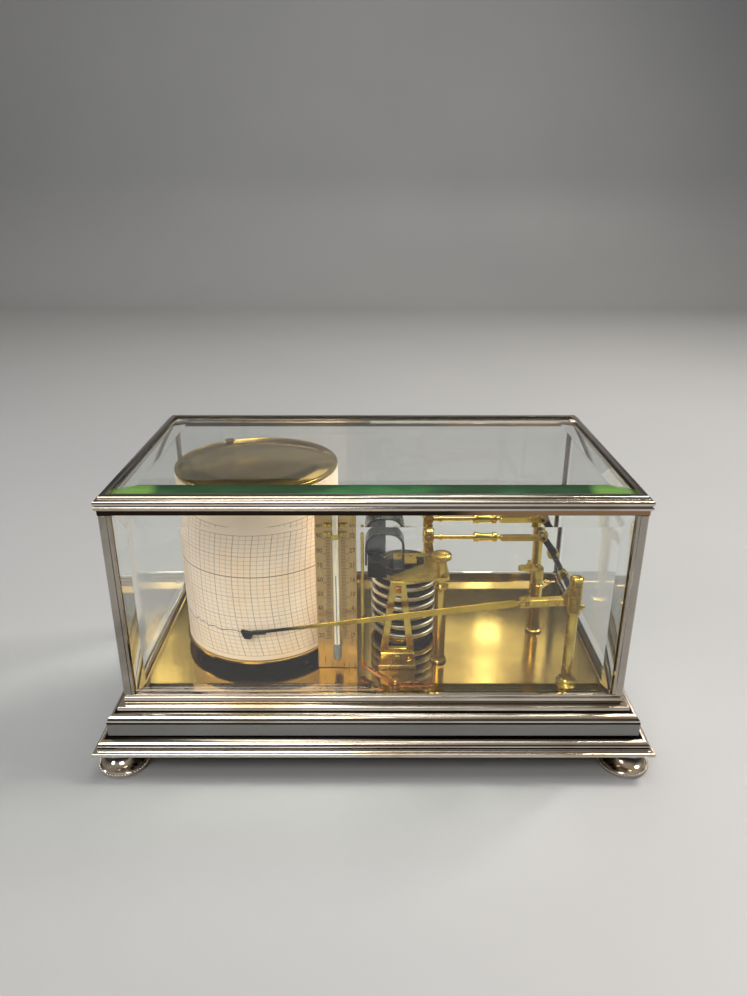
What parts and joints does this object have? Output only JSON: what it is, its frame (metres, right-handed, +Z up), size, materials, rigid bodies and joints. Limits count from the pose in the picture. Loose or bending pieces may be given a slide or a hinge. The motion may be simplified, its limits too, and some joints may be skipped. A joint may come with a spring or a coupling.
{
  "type": "barograph",
  "caption": "Weekly recording barometer: clockwork chart drum, aneroid capsules, linkage, long pen arm and a thermometer on a moulded plinth under a bevelled-glass cover.",
  "frame": {"origin": "on the table under the middle of the instrument, level with the undersides of its four feet", "axes": "+X to the right as seen from the front, along the plinth's length; +Y from the front to the back; +Z up"},
  "size_m": [0.304, 0.1818, 0.1576],
  "materials": {
    "polished_nickel": "polished nickel plate",
    "lacquered_brass": "polished and lacquered",
    "polished_brass_deck": "mirror polished and lacquered",
    "bright_steel": "bright",
    "blued_steel": "blued",
    "black_japan": "black japan",
    "chart_paper": "printed chart paper",
    "clear_glass": "bevelled and polished",
    "dark_wood": "stained hardwood"
  },
  "bodies": {
    "base": {"plinth_moulding": "polished_nickel", "base_board": "dark_wood", "deck_plate": "polished_brass_deck", "drum_spindle": "bright_steel", "centre_wheel": "lacquered_brass", "thermometer_plate": "lacquered_brass", "thermometer_foot": "lacquered_brass", "thermometer_tube": "clear_glass", "thermometer_clip": "lacquered_brass", "stack_base": "lacquered_brass", "capsule_1": "bright_steel", "capsule_2": "bright_steel", "capsule_3": "bright_steel", "capsule_4": "bright_steel", "capsule_5": "bright_steel", "capsule_6": "bright_steel", "capsule_7": "bright_steel", "lever_frame": "lacquered_brass", "bridge_plate": "lacquered_brass", "knob_pillar": "lacquered_brass", "crank_pillar": "lacquered_brass", "arbor_pillar_front": "lacquered_brass", "arbor_pillar_rear": "lacquered_brass", "stop_pillar": "lacquered_brass", "lifter_base": "lacquered_brass"},
    "cover": {"cover_sill": "polished_nickel", "cover_cornice": "polished_nickel", "post_front_left": "polished_nickel", "post_front_right": "polished_nickel", "post_back_left": "polished_nickel", "post_back_right": "polished_nickel", "glass_front": "clear_glass", "glass_back": "clear_glass", "glass_left": "clear_glass", "glass_right": "clear_glass", "glass_top": "clear_glass"},
    "drum": {"drum_shell": "lacquered_brass", "drum_chart": "chart_paper", "chart_clip": "lacquered_brass", "clock_case": "lacquered_brass", "mainspring_barrel": "lacquered_brass"},
    "pinion": {"drive_pinion": "bright_steel"},
    "stack_top": {"stack_cap": "lacquered_brass", "spring_strap": "bright_steel", "spring_block": "black_japan"},
    "bell_crank": {"bell_crank": "lacquered_brass"},
    "link": {"link_rod": "lacquered_brass", "link_bar": "lacquered_brass"},
    "link_sleeve": {"link_sleeve": "lacquered_brass"},
    "pen_arbor": {"pen_arbor": "blued_steel", "pen_block": "lacquered_brass"},
    "pen_arm": {"pen_arm": "lacquered_brass", "pen_nib": "black_japan"},
    "adjusting_knob": {"adjusting_knob": "lacquered_brass"},
    "lifter": {"lifter_lever": "lacquered_brass"},
    "foot_front_left": {"foot_front_left": "polished_nickel"},
    "foot_front_right": {"foot_front_right": "polished_nickel"},
    "foot_back_left": {"foot_back_left": "polished_nickel"},
    "foot_back_right": {"foot_back_right": "polished_nickel"}
  },
  "joints": [
    {"name": "cover_lift", "type": "slide", "parent": "base", "child": "cover", "axis": [0, 0, 1], "range_m": [0, 0.13]},
    {"name": "drum_turn", "type": "hinge", "parent": "base", "child": "drum", "pos_m": [-0.0672, 0, 0.0961], "axis": [0, 0, 1], "continuous": true},
    {"name": "pinion_turn", "type": "hinge", "parent": "drum", "child": "pinion", "pos_m": [-0.08622, -0.00618, 0.0423], "axis": [0, 0, 1], "continuous": true},
    {"name": "pen_swing", "type": "hinge", "parent": "base", "child": "pen_arbor", "pos_m": [0.108, 0, 0.0921], "axis": [0, 1, 0], "range_deg": [-5, 19], "stiffness_Nm_per_rad": 0.3},
    {"name": "link_pin", "type": "hinge", "parent": "pen_arbor", "child": "link", "pos_m": [0.1005, -0.003, 0.1041], "axis": [0, 1, 0], "range_deg": [-21, 6]},
    {"name": "sleeve_turn", "type": "hinge", "parent": "link", "child": "link_sleeve", "pos_m": [0.0663, -0.00339, 0.1041], "axis": [1, 0, 0], "continuous": true},
    {"name": "bell_crank_swing", "type": "hinge", "parent": "base", "child": "bell_crank", "pos_m": [0.035, 0, 0.0912], "axis": [0, 1, 0], "range_deg": [-6, 20]},
    {"name": "stack_travel", "type": "slide", "parent": "base", "child": "stack_top", "axis": [0, 0, 1], "range_m": [-0.0021, 0.0006], "deforming": ["capsule_1", "capsule_2", "capsule_3", "capsule_4", "capsule_5", "capsule_6", "capsule_7"]},
    {"name": "knob_turn", "type": "hinge", "parent": "base", "child": "adjusting_knob", "pos_m": [0.038, -0.034, 0.1036], "axis": [0, 0, 1], "continuous": true},
    {"name": "lifter_swing", "type": "hinge", "parent": "base", "child": "lifter", "pos_m": [0.012, -0.06355, 0.0436], "axis": [0, 0, 1], "range_deg": [0, 22]},
    {"name": "pen_gate", "type": "hinge", "parent": "pen_arbor", "child": "pen_arm", "pos_m": [0.082, -0.048, 0.0852], "axis": [0, 0, 1], "range_deg": [0, 5.3]},
    {"name": "foot_turn_front_left", "type": "hinge", "parent": "base", "child": "foot_front_left", "pos_m": [-0.138, -0.0769, 0.007], "axis": [0, 0, 1], "continuous": true},
    {"name": "foot_turn_front_right", "type": "hinge", "parent": "base", "child": "foot_front_right", "pos_m": [0.138, -0.0769, 0.007], "axis": [0, 0, 1], "continuous": true},
    {"name": "foot_turn_back_left", "type": "hinge", "parent": "base", "child": "foot_back_left", "pos_m": [-0.138, 0.0769, 0.007], "axis": [0, 0, 1], "continuous": true},
    {"name": "foot_turn_back_right", "type": "hinge", "parent": "base", "child": "foot_back_right", "pos_m": [0.138, 0.0769, 0.007], "axis": [0, 0, 1], "continuous": true}
  ],
  "couplings": [
    {"joint": "pinion_turn", "follows": "drum_turn", "ratio": 4},
    {"joint": "link_pin", "follows": "pen_swing", "ratio": -1.0832},
    {"joint": "bell_crank_swing", "follows": "pen_swing", "ratio": 0.988},
    {"joint": "stack_travel", "follows": "pen_swing", "m_per_rad": -0.006},
    {"joint": "pen_gate", "follows": "lifter_swing", "ratio": 0.235}
  ]
}
